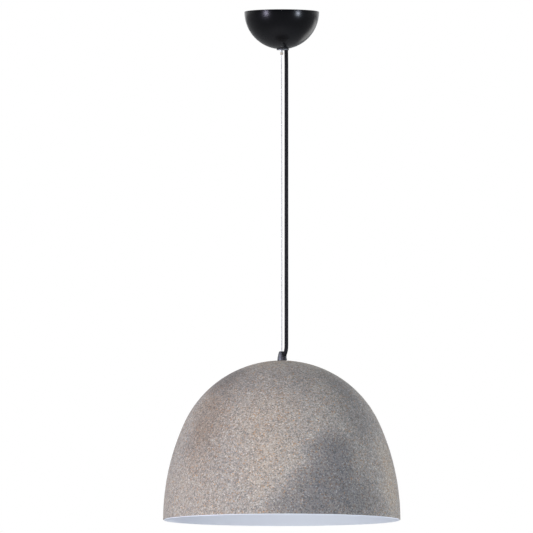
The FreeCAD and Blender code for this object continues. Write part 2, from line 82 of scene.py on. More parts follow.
# ---- meshes ----
def piece(name, verts, faces, material, sharp=38.0):
    """Mesh object with smooth faces, and sharp edges where it turns more than sharp degrees."""
    mesh = bpy.data.meshes.new(name)
    mesh.from_pydata([tuple(v) for v in verts], [], faces)
    mesh.update()
    mesh.shade_smooth()
    mesh.set_sharp_from_angle(angle=math.radians(sharp))
    mesh.materials.append(material)
    made = bpy.data.objects.new(name, mesh)
    scene.collection.objects.link(made)
    return made


def stand_in(made, body, slot, *replaced):
    """The piece rides on a body and stands for CAD nodes."""
    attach(made, body)
    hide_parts(*replaced)
    return made


def skin(rings, closed_v=False, caps=False):
    """Quads between rings of equal length; closed_v joins the last ring to the first."""
    size = len(rings[0])
    verts = [p for ring in rings for p in ring]
    faces = []
    rows = len(rings)
    for i in range(rows if closed_v else rows - 1):
        a, b = i * size, (i + 1) % rows * size
        for k in range(size):
            n = (k + 1) % size
            faces.append((a + k, a + n, b + n, b + k))
    if caps:
        faces.append(tuple(reversed(range(size))))
        faces.append(tuple(range((rows - 1) * size, rows * size)))
    return verts, faces


def ring_at(radius, z, segments, x=0.0):
    step = 2 * math.pi / segments
    return [
        Vector((x + radius * math.cos(k * step), radius * math.sin(k * step), z))
        for k in range(segments)
    ]


def lathe(outline, segments):
    """Ring-shaped solid turned about Z from a closed (radius, z) outline, run anticlockwise."""
    return skin([ring_at(r, z, segments) for r, z in outline], closed_v=True)


def curve_points(route, spacing):
    """Points along the route's smooth NURBS line, evenly spaced."""
    data = bpy.data.curves.new("route", "CURVE")
    data.dimensions = "3D"
    data.resolution_u = 40
    spline = data.splines.new("NURBS")
    spline.points.add(len(route) - 1)
    for point, corner in zip(spline.points, route):
        point.co = (*corner, 1.0)
    spline.order_u = 3
    spline.use_endpoint_u = True
    line = bpy.data.objects.new("route", data)
    scene.collection.objects.link(line)
    bpy.context.view_layer.update()
    evaluated = line.evaluated_get(bpy.context.evaluated_depsgraph_get())
    read = bpy.data.meshes.new_from_object(evaluated)
    points = np.array([v.co for v in read.vertices])
    bpy.data.objects.remove(line)
    bpy.data.curves.remove(data)
    bpy.data.meshes.remove(read)
    run = np.concatenate([[0], np.cumsum(np.linalg.norm(np.diff(points, axis=0), axis=1))])
    keep = np.concatenate([[True], np.diff(run) > 1e-9])
    run, points = run[keep], points[keep]
    count = max(3, int(round(run[-1] / spacing)) + 1)
    even = np.linspace(0, run[-1], count)
    axes = [np.interp(even, run, points[:, i]) for i in range(3)]
    return [Vector(p) for p in np.stack(axes, axis=1)]


def frames_along(points):
    """A steady pair of cross directions at each point of a line."""
    ways = []
    for i, here in enumerate(points):
        ways.append((points[min(i + 1, len(points) - 1)] - points[max(i - 1, 0)]).normalized())
    side = ways[0].orthogonal().normalized()
    pairs = []
    for way in ways:
        side = (side - way * side.dot(way)).normalized()
        pairs.append((side, way.cross(side)))
    return pairs


def tube_rings(points, radius, sides, pairs=None):
    """Rings round a line; the radius is one number, or is worked out from the ring's index."""
    rings = []
    turns = [2 * math.pi * k / sides for k in range(sides)]
    for i, (here, (u, v)) in enumerate(zip(points, pairs or frames_along(points))):
        r = radius(i) if callable(radius) else radius
        rings.append([here + (u * math.cos(turn) + v * math.sin(turn)) * r for turn in turns])
    return rings


def merged(parts):
    """Several (verts, faces) pairs as one."""
    verts, faces = [], []
    for more_verts, more_faces in parts:
        start = len(verts)
        verts += more_verts
        faces += [tuple(start + i for i in f) for f in more_faces]
    return verts, faces


def strands(points, count, ring_radius, strand_radius, lay_length, sides):
    """Stranded wire: strands laid round one that runs along the line."""
    pairs = frames_along(points)
    run = [0.0]
    for a, b in zip(points, points[1:]):
        run.append(run[-1] + (b - a).length)
    parts = []
    for s in range(count):
        line = []
        for here, (u, v), along in zip(points, pairs, run):
            turn = 2 * math.pi * (s / count + along / lay_length)
            line.append(here + (u * math.cos(turn) + v * math.sin(turn)) * ring_radius)
        parts.append(skin(tube_rings(line, strand_radius, sides), caps=True))
    parts.append(skin(tube_rings(points, strand_radius, sides, pairs), caps=True))
    return merged(parts)


def helix(radius, z0, z1, turns, wire, sides=10, per_turn=28):
    """Round wire wound about Z."""
    count = int(turns * per_turn)
    line = []
    for i in range(count + 1):
        t = i / count
        turn = 2 * math.pi * turns * t
        line.append(Vector((radius * math.cos(turn), radius * math.sin(turn), z0 + (z1 - z0) * t)))
    return skin(tube_rings(line, wire, sides), caps=True)


def threaded(radius, depth, pitch, z0, z1, bore, segments, per_pitch):
    """Screw thread with chamfered ends, round a plain bore."""
    count = max(4, int(abs(z1 - z0) / pitch * per_pitch))
    rings = []
    for i in range(count + 1):
        z = z0 + (z1 - z0) * i / count
        lead_in = max(0.0, depth - min(abs(z - z0), abs(z - z1)))
        ring = []
        for k in range(segments):
            turn = 2 * math.pi * k / segments
            phase = (z / pitch - k / segments) % 1.0
            r = radius - max(depth * min(1.0, max(0.0, abs(phase - 0.5) * 2.4 - 0.1)), lead_in)
            ring.append(Vector((r * math.cos(turn), r * math.sin(turn), z)))
        rings.append(ring)
    rings += [ring_at(bore, z1, segments), ring_at(bore, z0, segments)]
    return skin(rings, closed_v=True)


# ---- materials ----
def tree_of(name):
    material = bpy.data.materials.new(name)
    material.use_nodes = True
    tree = material.node_tree
    tree.nodes.clear()
    output = tree.nodes.new("ShaderNodeOutputMaterial")
    shader = tree.nodes.new("ShaderNodeBsdfPrincipled")
    tree.links.new(shader.outputs[0], output.inputs[0])
    return material, tree, shader


def add(tree, kind, inputs=None, **settings):
    """New node; an input is a value or another node's output."""
    made = tree.nodes.new("ShaderNode" + kind)
    for key, value in settings.items():
        setattr(made, key, value)
    for key, value in (inputs or {}).items():
        if isinstance(value, bpy.types.NodeSocket):
            tree.links.new(value, made.inputs[key])
        else:
            made.inputs[key].default_value = value
    return made


def place(tree, stretch=(1, 1, 1)):
    where = add(tree, "TexCoord").outputs["Object"]
    return add(tree, "Mapping", {"Vector": where, "Scale": stretch}).outputs[0]


def noise_of(tree, vector, scale, detail=3.0):
    look = {"Vector": vector, "Scale": scale, "Detail": detail, "Roughness": 0.55}
    return add(tree, "TexNoise", look).outputs["Fac"]


def ranged(tree, value, low, high, to_low, to_high, smooth=True):
    span = {"Value": value, "From Min": low, "From Max": high, "To Min": to_low, "To Max": to_high}
    made = add(tree, "MapRange", span)
    made.interpolation_type = "SMOOTHSTEP" if smooth else "LINEAR"
    return made.outputs[0]


def mixed(tree, factor, a, b, blend="MIX"):
    made = add(tree, "Mix", data_type="RGBA", blend_type=blend)
    for key, value in ((0, factor), (6, a), (7, b)):
        if isinstance(value, bpy.types.NodeSocket):
            tree.links.new(value, made.inputs[key])
        else:
            made.inputs[key].default_value = value if key == 0 else (*value[:3], 1)
    return made.outputs[2]


def summed(tree, a, b):
    return add(tree, "Math", {0: a, 1: b}, operation="ADD").outputs[0]


def relief(tree, height, distance, strength=1.0):
    bump = {"Height": height, "Distance": distance, "Strength": strength}
    return add(tree, "Bump", bump).outputs[0]


def set_shader(tree, shader, **values):
    for key, value in values.items():
        socket = shader.inputs[key.replace("_", " ").title().replace("Ior", "IOR")]
        if isinstance(value, bpy.types.NodeSocket):
            tree.links.new(value, socket)
        else:
            socket.default_value = value


def finish_of(name, dark, light, rough, spread=0.06, metallic=0.0, colour_scale=60.0, grain=700.0,
              depth=0.02 * MM, stretch=(1, 1, 1), specular=0.5):
    """Everyday finish: drifting colour and gloss, over a fine surface grain."""
    material, tree, shader = tree_of(name)
    cloud = noise_of(tree, place(tree), colour_scale)
    lines = noise_of(tree, place(tree, stretch), grain, 4.0)
    set_shader(
        tree, shader,
        base_color=mixed(tree, ranged(tree, cloud, 0.3, 0.7, 0, 1), dark, light),
        roughness=ranged(tree, lines, 0.25, 0.75, rough - spread, rough + spread),
        metallic=metallic, specular_ior_level=specular,
        normal=relief(tree, lines, depth),
    )
    return material


ROUND = (1, 1, 14)  # stretch that turns noise into rings about Z
LONG = (1, 1, 0.15)  # stretch that draws noise out along Z
METAL = 1.0

zinc = finish_of(
    "zinc_plate", (0.50, 0.51, 0.53), (0.66, 0.66, 0.64), 0.30, spread=0.08, metallic=METAL,
    colour_scale=90, grain=900, depth=0.01 * MM)
turned_steel = finish_of(
    "turned_steel", (0.52, 0.53, 0.55), (0.64, 0.65, 0.66), 0.24, spread=0.07, metallic=METAL,
    colour_scale=150, grain=600, depth=0.012 * MM, stretch=ROUND)
satin_nickel = finish_of(
    "satin_nickel", (0.19, 0.20, 0.205), (0.25, 0.26, 0.265), 0.56, spread=0.05, metallic=METAL,
    colour_scale=150, grain=600, depth=0.01 * MM, stretch=ROUND)
brass = finish_of(
    "brass_sheet", (0.62, 0.43, 0.17), (0.80, 0.60, 0.28), 0.26, spread=0.08, metallic=METAL,
    colour_scale=130, grain=900, depth=0.008 * MM, stretch=ROUND)
crimp = finish_of(
    "crimp_metal", (0.56, 0.50, 0.41), (0.74, 0.68, 0.58), 0.42, spread=0.08, metallic=0.6,
    colour_scale=400, grain=1500)
rope_steel = finish_of(
    "rope_steel", (0.66, 0.68, 0.71), (0.72, 0.74, 0.77), 0.62, spread=0.05, metallic=0.15,
    colour_scale=300, grain=2500, depth=0.004 * MM, specular=0.35)
copper = finish_of(
    "copper_wire", (0.62, 0.27, 0.14), (0.80, 0.42, 0.25), 0.30, metallic=METAL,
    colour_scale=500, grain=3000, depth=0.005 * MM)
rubber = finish_of(
    "black_rubber", (0.012, 0.012, 0.013), (0.030, 0.030, 0.031), 0.62, spread=0.08,
    colour_scale=120, grain=1500, depth=0.03 * MM)
moulding = finish_of(
    "black_moulding", (0.007, 0.007, 0.008), (0.014, 0.014, 0.015), 0.38, spread=0.08,
    colour_scale=80, grain=1300, depth=0.012 * MM, specular=0.32)
nylon = finish_of(
    "natural_nylon", (0.70, 0.69, 0.62), (0.82, 0.81, 0.76), 0.42, spread=0.07,
    colour_scale=120, grain=900)
ceramic = finish_of(
    "glazed_ceramic", (0.74, 0.72, 0.66), (0.84, 0.83, 0.79), 0.20, spread=0.07,
    colour_scale=110, grain=500, depth=0.04 * MM)
flex_black = finish_of(
    "flex_sheath", (0.0052, 0.0052, 0.0066), (0.0085, 0.0085, 0.0104), 0.55,
    colour_scale=45, grain=900, depth=0.008 * MM, stretch=LONG, specular=0.18)
brown_core = finish_of("brown_core", (0.12, 0.05, 0.02), (0.18, 0.075, 0.035), 0.40)
blue_core = finish_of("blue_core", (0.02, 0.08, 0.36), (0.035, 0.13, 0.50), 0.40)


def earth_core():
    """Green insulation with yellow stripes."""
    material, tree, shader = tree_of("earth_core")
    where = place(tree)
    look = {"Vector": where, "Scale": 150.0, "Distortion": 2.0, "Detail": 1.0}
    wave = add(tree, "TexWave", look)
    stripe = ranged(tree, wave.outputs["Fac"], 0.45, 0.55, 0, 1)
    fine = noise_of(tree, where, 1200)
    colour = mixed(tree, stripe, (0.06, 0.30, 0.06), (0.75, 0.65, 0.04))
    set_shader(tree, shader, base_color=colour, roughness=ranged(tree, fine, 0.3, 0.7, 0.34, 0.46),
               normal=relief(tree, fine, 0.01 * MM))
    return material


def canopy_paint():
    """Black satin enamel with a faint orange peel and a little dust."""
    material, tree, shader = tree_of("black_enamel")
    where = place(tree)
    peel = noise_of(tree, where, 260, 2.0)
    dust = noise_of(tree, where, 2600, 2.0)
    cloud = noise_of(tree, where, 28)
    speck = ranged(tree, dust, 0.70, 0.78, 0, 0.35)
    paint = mixed(tree, cloud, (0.0010, 0.0012, 0.0018), (0.0026, 0.0027, 0.0034))
    set_shader(tree, shader, base_color=mixed(tree, speck, paint, (0.03, 0.03, 0.03)),
               roughness=ranged(tree, cloud, 0.3, 0.7, 0.22, 0.28), specular_ior_level=0.18,
               normal=relief(tree, peel, 0.012 * MM))
    return material


def shell_enamel():
    """Smooth white enamel on spun aluminium: faint spinning rings show through."""
    material, tree, shader = tree_of("white_enamel")
    rings = noise_of(tree, place(tree, (1, 1, 60)), 16, 2.0)
    peel = noise_of(tree, place(tree), 330, 2.0)
    cloud = noise_of(tree, place(tree), 9)
    both = summed(tree, rings, peel)
    # the base colour is tinted blue: painted light, the blue cast of the light inside the shade
    set_shader(tree, shader, base_color=mixed(tree, cloud, (0.74, 0.78, 0.87), (0.79, 0.83, 0.90)),
               roughness=ranged(tree, peel, 0.3, 0.7, 0.34, 0.44),
               normal=relief(tree, both, 0.03 * MM))
    return material


# Soft patches on the coating: centre, reach and strength. Grey ones are darker and bluer where
# positive, lighter and warmer where negative.
# On the front (negative y) they are partly stains and partly painted shade and painted light;
# behind, stains. Brown ones are stains, darker and redder.
GREY_STAINS_AND_PAINTED_LIGHT = [
    # partly stain, partly painted shade: the dark patch low on the right, and darker shading
    # higher up and near the crown
    (mm(78, -168, -724), 62, 0.50),
    (mm(122, -138, -790), 68, 0.48),
    (mm(34, -182, -794), 66, 0.84),
    (mm(84, -168, -794), 60, 0.20),
    (mm(88, -162, -716), 52, 0.26),
    (mm(134, -96, -646), 74, 0.34),
    (mm(96, -62, -588), 52, 0.30),
    (mm(26, -95, -600), 45, 0.22),
    (mm(-92, -40, -590), 52, 0.50),
    (mm(-150, -100, -700), 60, 0.12),
    # painted light: a lighter crown, middle and foot on the front
    (mm(0, -10, -560), 62, -0.50),
    (mm(-30, -155, -660), 70, -0.45),
    (mm(-10, -180, -740), 75, -0.50),
    (mm(-140, -120, -780), 80, -0.25),
    # painted light: the lighter strip up the right edge
    (mm(177, -62, -772), 42, -1.0),
    (mm(170, -62, -716), 42, -0.85),
    # stains on the back
    (mm(150, 90, -760), 85, 0.55),
    (mm(-60, 175, -770), 80, 0.60),
    (mm(60, 160, -690), 70, -0.45),
    (mm(-160, 60, -700), 70, -0.40),
    (mm(-120, 120, -640), 60, 0.35),
    (mm(20, 110, -590), 60, 0.30),
]
BROWN_STAINS = [
    (mm(-118, -95, -655), 58, 0.52),
    (mm(-98, -62, -612), 48, 0.30),
    (mm(-130, -118, -702), 56, 0.34),
    (mm(120, 120, -680), 70, 0.40),
    (mm(-90, 150, -730), 60, 0.30),
]


def stain_and_light_patches(tree, where, stains):
    """Sum of soft patches, stains and painted shade and light, each at full strength to a quarter
    of its reach.
    """
    total = None
    for centre, reach, strength in stains:
        far = add(tree, "VectorMath", {0: where, 1: centre}, operation="DISTANCE").outputs["Value"]
        part = ranged(tree, far, reach * 0.25 * MM, reach * 1.15 * MM, strength, 0.0)
        total = part if total is None else summed(tree, total, part)
    return total


# The coating's grains: share of the cells up to the next entry, and colour.
GRAIN_COLOURS = [
    (0.000, (0.115, 0.116, 0.122)),
    (0.090, (0.185, 0.191, 0.203)),
    (0.200, (0.235, 0.202, 0.177)),
    (0.320, (0.300, 0.295, 0.288)),
    (0.460, (0.365, 0.327, 0.290)),
    (0.600, (0.405, 0.384, 0.353)),
    (0.720, (0.470, 0.405, 0.348)),
    (0.830, (0.500, 0.488, 0.460)),
    (0.915, (0.680, 0.652, 0.600)),
    (0.945, (0.370, 0.205, 0.105)),
    (0.972, (0.230, 0.130, 0.070)),
    (0.986, (0.530, 0.300, 0.130)),
]
GRAIN_SCALE, FLOUR_SCALE = 580.0, 1500.0  # cells to a metre
FLOUR_SHARE = 0.34
FLOUR_DARK, FLOUR_LIGHT = (0.22, 0.204, 0.178), (0.52, 0.480, 0.400)
# the grey tint darkens for stains and painted shade, the warm tint lightens for stains and painted
# light
BROWN_TINT, SHADE_AND_STAIN_TINT, LIGHT_AND_STAIN_TINT = (0.76, 0.67, 0.60), (0.46, 0.49, 0.55), (1.16, 1.10, 1.02)


def warped(tree, where, scale, detail, reach):
    """Coordinates pushed about by noise."""
    look = {"Vector": where, "Scale": scale, "Detail": detail, "Roughness": 0.6}
    colour = add(tree, "TexNoise", look).outputs["Color"]
    push = add(tree, "VectorMath", {0: colour, 1: (0.5, 0.5, 0.5)}, operation="SUBTRACT")
    push = add(tree, "VectorMath", {0: push.outputs[0], "Scale": reach}, operation="SCALE")
    return add(tree, "VectorMath", {0: where, 1: push.outputs[0]}, operation="ADD").outputs[0]


def cells_of(tree, where, scale):
    """Voronoi cells: the distance from their centres and two random numbers for each."""
    cells = add(tree, "TexVoronoi", {"Vector": where, "Scale": scale, "Randomness": 1.0})
    split = add(tree, "SeparateColor", {0: cells.outputs["Color"]})
    return cells.outputs["Distance"], split.outputs[0], split.outputs[1]


def stone_coat():
    """Cast-stone coating: packed mineral grains over a slow drift of stain, with painted shade and
    painted light on its front.
    """
    material, tree, shader = tree_of("stone_coat")
    where = place(tree)
    bent = warped(tree, where, 14.0, 4.0, 75 * MM)
    brown = ranged(tree, stain_and_light_patches(tree, bent, BROWN_STAINS), 0.0, 1.0, 0, 1, smooth=False)
    drift = ranged(tree, noise_of(tree, where, 11, 4.0), 0.3, 0.7, -0.22, 0.22, smooth=False)
    total = summed(tree, stain_and_light_patches(tree, bent, GREY_STAINS_AND_PAINTED_LIGHT), drift)
    # darker and bluer where stains and painted shade lie; lighter and warmer where stains and
    # painted light lie
    shade_and_stain_mask = ranged(tree, total, 0.0, 1.0, 0, 1, smooth=False)
    light_and_stain_mask = ranged(tree, total, 0.0, -1.0, 0, 1, smooth=False)

    ragged = warped(tree, where, 1100.0, 2.0, 2.2 * MM)
    distance, pick, gloss = cells_of(tree, ragged, GRAIN_SCALE)
    fine_distance, _, fine_pick = cells_of(tree, ragged, FLOUR_SCALE)
    ramp = add(tree, "ValToRGB", {0: pick})
    ramp.color_ramp.interpolation = "CONSTANT"
    while len(ramp.color_ramp.elements) < len(GRAIN_COLOURS):
        ramp.color_ramp.elements.new(1.0)
    for element, (at, colour) in zip(ramp.color_ramp.elements, GRAIN_COLOURS):
        element.position = at
        element.color = (*colour, 1)
    shade_of_flour = ranged(tree, fine_pick, 0, 1, 0, 1, smooth=False)
    flour = mixed(tree, shade_of_flour, FLOUR_DARK, FLOUR_LIGHT)
    grains = mixed(tree, FLOUR_SHARE, ramp.outputs[0], flour)
    browned = mixed(tree, brown, grains, BROWN_TINT, "MULTIPLY")
    stained_and_shaded = mixed(tree, shade_and_stain_mask, browned, SHADE_AND_STAIN_TINT, "MULTIPLY")
    stained_and_lit = mixed(tree, light_and_stain_mask, stained_and_shaded, LIGHT_AND_STAIN_TINT, "MULTIPLY")
    height = summed(tree, distance, fine_distance)
    set_shader(tree, shader, base_color=stained_and_lit, roughness=ranged(tree, gloss, 0, 1, 0.72, 0.95),
               specular_ior_level=0.3, normal=relief(tree, height, -0.28 * MM, 0.8))
    return material


earth_green = earth_core()
enamel_black = canopy_paint()
enamel_white = shell_enamel()
stone = stone_coat()

# ---- the rope and the flex: the CAD model's own routes, but for the flex's small step forward
# below its outlet, which lets the rope pass behind it when the light swings that way ----
ROPE_ROUTE = [
    mm(0, 0, -549.6), mm(0, 0, -69.2), mm(-1.3, 0, -66.6), mm(-1.3, 0, -63.38), mm(1.3, 0, -63.38),
    mm(1.3, 0, -68.4),
]
FLEX_ROUTE = [
    mm(7.2, 0, -60.2), mm(7.2, -0.2, -65.5), mm(7.5, -4.2, -79.0), mm(7.5, -4.4, -120.0),
    mm(7.5, -5.2, -533.0), mm(7.4, -5.9, -541.0),
    mm(5.9, -5.95, -548.0), mm(4.6, -4.95, -551.3), mm(2.2, -2.45, -554.3),
]
ROPE_RADIUS = 0.75 * MM
ROPE_LAY = 7.0 * MM  # length in which a strand goes round once
FLEX_RADIUS = 3.1 * MM
FLEX_SIDES = 32
CAPPED = 50.0  # angle that keeps the ends of a cord sharp


rope_line = curve_points(ROPE_ROUTE, 0.6 * MM)
rope_strands = strands(rope_line, count=6, ring_radius=ROPE_RADIUS * 2 / 3,
                       strand_radius=ROPE_RADIUS / 3, lay_length=ROPE_LAY, sides=7)
rope = piece("steel_rope", *rope_strands, rope_steel)
stand_in(rope, "pendulum", "bright_rope", "suspension_rope")

NECK_END = -68.0 * MM  # the flex's first bend, about the eye, ends here
BEND_END = -106.0 * MM  # its second bend, about the ring, ends here


def level_cut(points, z):
    """Index of the first point that is at or below a level."""
    return next(i for i, p in enumerate(points) if p.z <= z)


flex_line = curve_points(FLEX_ROUTE, 1.0 * MM)
first_cut, second_cut = level_cut(flex_line, NECK_END), level_cut(flex_line, BEND_END)
flex_pairs = frames_along(flex_line)
flex_rings = tube_rings(flex_line, FLEX_RADIUS, FLEX_SIDES, flex_pairs)


def flex_stretch(name, start, stop):
    return piece(name, *skin(flex_rings[start:stop + 1], caps=True), flex_black, CAPPED)


flex_neck = flex_stretch("flex_neck", 0, first_cut)
flex_bend = flex_stretch("flex_bend", first_cut, second_cut)
flex_drop = flex_stretch("flex_drop", second_cut, len(flex_line) - 1)
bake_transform(flex_neck)
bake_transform(flex_bend)
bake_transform(flex_drop)
for stretch, node in [
    (flex_neck, "flex_upper"), (flex_bend, "flex_upper"), (flex_drop, "flex_lower"),
]:
    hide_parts(node)

# the flex's tail inside the canopy; its last ring is drawn in a little
tail_low, tail_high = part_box("flex_tail")
tail_x = (tail_low.x + tail_high.x) / 2
tail_step = (tail_high.z - tail_low.z) / 40
tail_line = [Vector((tail_x, 0, tail_low.z + tail_step * i)) for i in range(41)]
tail_rings = tube_rings(tail_line, lambda i: FLEX_RADIUS * (1.0 if i < 40 else 0.93), FLEX_SIDES)
tail = piece("flex_tail_end", *skin(tail_rings, caps=True), flex_black, CAPPED)
stand_in(tail, "ceiling", "black_flex", "flex_tail")

# ---- canopy ----
CANOPY_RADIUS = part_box("canopy")[1].x
plate_low, plate_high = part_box("outlet_plate")
CANOPY_WALL = 1.0 * MM
RIM_ROUND = 0.32 * MM
RIM_GAP = 0.006  # radians left for the rim's rounding
HOLE_RADIUS = 8.6 * MM
HOLE_X = (plate_low.x + plate_high.x) / 2


def canopy_mesh():
    """Half sphere whose rings slide from the off-centre hole to the rim."""
    segments = 192

    def bowl(radius, steps):
        rings = []
        start = math.asin(HOLE_RADIUS / radius)
        end = math.pi / 2 - RIM_GAP
        for i in range(steps + 1):
            r = radius * math.sin(start + (end - start) * i / steps)
            slide = HOLE_X * (1 - (r - HOLE_RADIUS) / (radius - HOLE_RADIUS))
            rings.append([
                Vector((p.x, p.y, -math.sqrt(max(0.0, radius**2 - p.x**2 - p.y**2))))
                for p in ring_at(r, 0.0, segments, slide)
            ])
        return rings

    outer = bowl(CANOPY_RADIUS, 72)
    inner = bowl(CANOPY_RADIUS - CANOPY_WALL, 60)
    middle = CANOPY_RADIUS - CANOPY_WALL / 2
    rim = []
    for k in range(9):
        turn = math.pi * k / 8
        r = middle + CANOPY_WALL / 2 * math.cos(turn)
        rim.append(ring_at(r, RIM_ROUND * (math.sin(turn) - 1), segments))
    return skin(outer + rim + inner[::-1], closed_v=True)


canopy = piece("canopy_bowl", *canopy_mesh(), enamel_black, sharp=60.0)
stand_in(canopy, "ceiling", "black_enamel", "canopy")

# ---- rod with its eye ----
bolt_low, bolt_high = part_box("eye_bolt")
ROD_RADIUS = 2.5 * MM
EYE_WIRE = 0.6 * MM
EYE_HALF = 1.8 * MM
EYE_BEND = 0.7 * MM
EYE_HEIGHT = 2.4 * MM
rod_end = bolt_low.z + EYE_HEIGHT
eye_bar = bolt_low.z + EYE_WIRE
eye_line = [Vector((-EYE_HALF, 0, rod_end + 1 * MM))]
for k in range(9):
    turn = math.pi + math.pi / 2 * k / 8
    across = EYE_BEND * (1 + math.cos(turn)) - EYE_HALF
    eye_line.append(Vector((across, 0, eye_bar + EYE_BEND * (1 + math.sin(turn)))))
eye_line += [Vector((-p.x, 0, p.z)) for p in reversed(eye_line)]
eye_line = [eye_line[0], (eye_line[0] + eye_line[1]) / 2, *eye_line[1:]]
bolt = merged([
    threaded(ROD_RADIUS, depth=0.36 * MM, pitch=0.8 * MM, z0=rod_end, z1=bolt_high.z,
             bore=0.05 * MM, segments=40, per_pitch=7),
    skin(tube_rings(eye_line, EYE_WIRE, 16), caps=True),
])
eye_rod = piece("eye_rod", *bolt, turned_steel, sharp=30.0)
stand_in(eye_rod, "ceiling", "zinc_steel", "eye_bolt")

# ---- ring link ----
link_low, link_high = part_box("ring_link")
link_centre = (link_low + link_high) / 2
LINK_WIRE = 0.5 * MM
link_radius = (link_high.z - link_low.z) / 2 - LINK_WIRE
link_rings = []
wire_turns = [2 * math.pi * k / 16 for k in range(16)]
for k in range(64):
    turn = 2 * math.pi * k / 64
    out = Vector((0, math.cos(turn), math.sin(turn)))
    link_rings.append([
        link_centre + out * (link_radius + LINK_WIRE * math.cos(round_wire))
        + Vector((LINK_WIRE * math.sin(round_wire), 0, 0))
        for round_wire in wire_turns
    ])
link_ring = piece("link_ring", *skin(link_rings, closed_v=True), turned_steel)
stand_in(link_ring, "link", "zinc_steel", "ring_link")

# ---- ferrule: an oval sleeve squeezed in three places ----
ferrule_low, ferrule_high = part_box("rope_ferrule")
SLEEVE_SIDE = 1.2 * MM
SQUEEZE = 0.20  # share of the sleeve's thickness
sleeve_half = (ferrule_high.x - ferrule_low.x) / 2 - SLEEVE_SIDE - 0.15 * MM
sleeve_low = ferrule_low.z + 0.6 * MM  # clear of the flex when the rope leans towards it


def oval_ring(z, half, thick, segments=48):
    """Ring with nearly flat front and back: half is its flat part's half width."""
    ring = []
    for k in range(segments):
        turn = 2 * math.pi * k / segments
        flat = math.copysign(half, math.cos(turn)) * min(1.0, abs(math.cos(turn)) * 3)
        ring.append(Vector((flat + SLEEVE_SIDE * math.cos(turn), thick * math.sin(turn), z)))
    return ring


ferrule_rings = []
for i in range(49):
    t = i / 48
    z = sleeve_low + (ferrule_high.z - sleeve_low) * t
    squeeze = SQUEEZE * math.sin(3 * math.pi * t) ** 2 if 0.06 < t < 0.94 else 0.0
    end = min(1.0, min(t, 1 - t) * 12)
    round_off = 0.90 + 0.10 * math.sqrt(1 - (1 - end) ** 2)
    half = sleeve_half * round_off * (1 + 0.1 * squeeze)
    ferrule_rings.append(oval_ring(z, half, SLEEVE_SIDE * round_off * (1 - squeeze)))
sleeve = piece("rope_sleeve", *skin(ferrule_rings, caps=True), crimp, CAPPED)
stand_in(sleeve, "pendulum", "crimp_metal", "rope_ferrule")

# ---- dome: coating and shell ----
SHADE_RADIUS = 190.0 * MM
SHADE_HEIGHT = 256.0 * MM
shade_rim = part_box("shade_shell")[0].z
CROWN_HOLE = 5.0 * MM
COAT = 1.2 * MM
WALL = 1.2 * MM
BARE_LIP = 1.2 * MM  # the coating stops this far above the rim
RIM_DEPTH = 0.45 * MM  # height of the rim's rounding
CROWN_TURN = math.radians(65.5)
sin_turn, cos_turn = math.sin(CROWN_TURN), math.cos(CROWN_TURN)
side_radius = (SHADE_HEIGHT * sin_turn - SHADE_RADIUS * (1 - cos_turn)) / (
    sin_turn * cos_turn - (1 - sin_turn) * (1 - cos_turn)
)
crown_radius = (SHADE_RADIUS - side_radius * (1 - sin_turn)) / sin_turn
dome_top = shade_rim + SHADE_HEIGHT


def dome_profile(inset, spacing, edge_z):
    """(radius, z) points down the dome, crown arc then side arc, at an inset, to a level."""
    crown_z = dome_top - crown_radius
    side_x = SHADE_RADIUS - side_radius
    r_crown, r_side = crown_radius - inset, side_radius - inset
    start = math.asin(CROWN_HOLE / r_crown)
    end = math.acos((edge_z - shade_rim) / r_side)
    points = []
    count = int((CROWN_TURN - start) * r_crown / spacing)
    for i in range(count):
        a = start + (CROWN_TURN - start) * i / count
        points.append((r_crown * math.sin(a), crown_z + r_crown * math.cos(a)))
    count = int((end - CROWN_TURN) * r_side / spacing)
    for i in range(count + 1):
        a = CROWN_TURN + (end - CROWN_TURN) * i / count
        points.append((side_x + r_side * math.sin(a), shade_rim + r_side * math.cos(a)))
    return points


def grain_height(p):
    """Relief of the coating at a point: packed grains, a few pits and a slow waver."""
    grain = noise.noise(p * 420) * 0.10 + noise.noise(p * 900) * 0.06
    pit = max(0.0, noise.noise(p * 260 + Vector((7, 3, 1))) - 0.42) * -0.75
    waver = noise.noise(p * 30) * 0.05
    return (grain + pit + waver) * MM


def stone_mesh():
    """The coating: its outer face with the grains' relief, its edge and its smooth back."""
    segments = 720
    lip_z = shade_rim + BARE_LIP
    outer = dome_profile(0.0, 1.55 * MM, lip_z)
    inner = dome_profile(COAT, 16 * MM, lip_z)
    rings = []
    count = len(outer)
    for i, (r, z) in enumerate(outer):
        before, after = outer[max(i - 1, 0)], outer[min(i + 1, count - 1)]
        normal = Vector((before[1] - after[1], after[0] - before[0])).normalized()
        fade = min(1.0, i / 3) * min(1.0, (count - 1 - i) / 1.5 + 0.35)
        ring = []
        for p in ring_at(r, z, segments):
            h = grain_height(p) * fade
            wider = 1 + normal.x * h / r
            ring.append(Vector((p.x * wider, p.y * wider, p.z + normal.y * h)))
        rings.append(ring)
    edge = (outer[-1][0] - 0.35 * MM, lip_z - 0.05 * MM)
    rings += [ring_at(r, z, segments) for r, z in [edge, *inner[::-1]]]
    return skin(rings, closed_v=True)


coating = piece("stone_skin", *stone_mesh(), stone, sharp=180.0)
stand_in(coating, "shade", "stone_coat", "stone_coating")


def shell_mesh():
    """The spun shell, with a rounded rim."""
    segments = 288
    outer = dome_profile(COAT, 5 * MM, shade_rim + RIM_DEPTH)
    inner = dome_profile(COAT + WALL, 5 * MM, shade_rim + RIM_DEPTH)
    middle = (outer[-1][0] + inner[-1][0]) / 2
    half = (outer[-1][0] - inner[-1][0]) / 2
    rim = []
    for k in range(1, 8):
        turn = math.pi * k / 8
        rim.append((middle + half * math.cos(turn), shade_rim + RIM_DEPTH * (1 - math.sin(turn))))
    return lathe(outer + rim + inner[::-1], segments)


